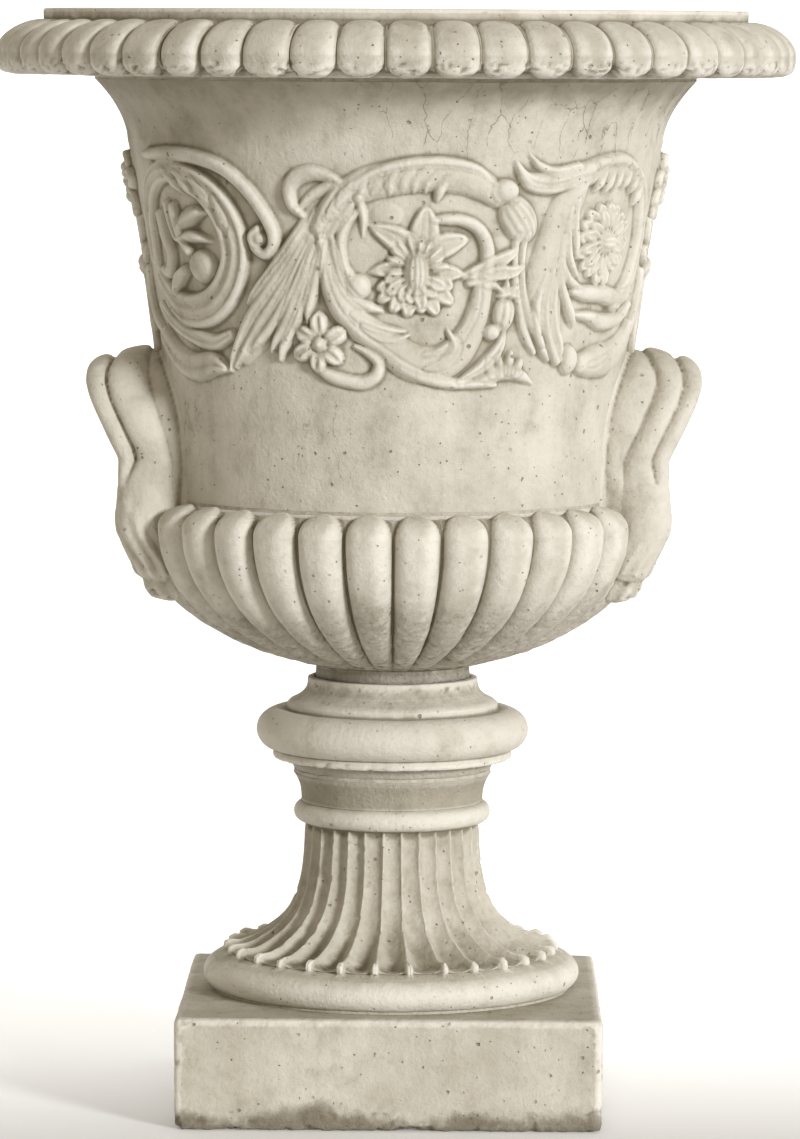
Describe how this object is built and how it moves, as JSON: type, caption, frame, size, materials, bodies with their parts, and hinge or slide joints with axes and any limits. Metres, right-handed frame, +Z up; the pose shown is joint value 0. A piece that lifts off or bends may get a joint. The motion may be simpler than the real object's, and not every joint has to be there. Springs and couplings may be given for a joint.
{
  "type": "stone urn",
  "caption": "Footed garden urn of cast stone with a gadrooned bowl and rim, a bell body with a scroll frieze, looped side handles and a square plinth.",
  "frame": {"origin": "centre of the plinth's underside, on the ground", "axes": "+Z up the urn's axis, front towards -Y, handles at +X and -X"},
  "size_m": [0.655, 0.655, 0.9],
  "materials": {
    "cast_stone": "weathered cream limestone-coloured cast stone, matt, with small casting pits and grime in the creases",
    "mortar": "rough grey-beige lime mortar",
    "galvanised_steel": "dull galvanised",
    "stainless_steel": "plain drawn bar"
  },
  "bodies": {
    "root": {"plinth": "cast_stone", "foot_bed": "mortar", "pedestal": "cast_stone", "knop_bed": "mortar", "knop": "cast_stone", "bowl_bed": "mortar", "gadrooned_bowl": "cast_stone", "body_bed": "mortar", "bell_body": "cast_stone", "rim_bed": "mortar", "gadrooned_rim": "cast_stone", "drain_tube": "galvanised_steel", "lower_washer": "galvanised_steel", "upper_washer": "galvanised_steel", "lower_nut": "galvanised_steel", "upper_nut": "galvanised_steel", "right_handle": "cast_stone", "right_handle_front_upper_dowel": "stainless_steel", "right_handle_front_lower_dowel": "stainless_steel", "right_handle_rear_upper_dowel": "stainless_steel", "right_handle_rear_lower_dowel": "stainless_steel", "left_handle": "cast_stone", "left_handle_front_upper_dowel": "stainless_steel", "left_handle_front_lower_dowel": "stainless_steel", "left_handle_rear_upper_dowel": "stainless_steel", "left_handle_rear_lower_dowel": "stainless_steel", "front_left_scroll": "cast_stone", "front_left_rosette": "cast_stone", "front_middle_scroll": "cast_stone", "front_middle_rosette": "cast_stone", "front_right_scroll": "cast_stone", "front_right_rosette": "cast_stone", "rear_left_scroll": "cast_stone", "rear_left_rosette": "cast_stone", "rear_middle_scroll": "cast_stone", "rear_middle_rosette": "cast_stone", "rear_right_scroll": "cast_stone", "rear_right_rosette": "cast_stone"}
  },
  "joints": []
}
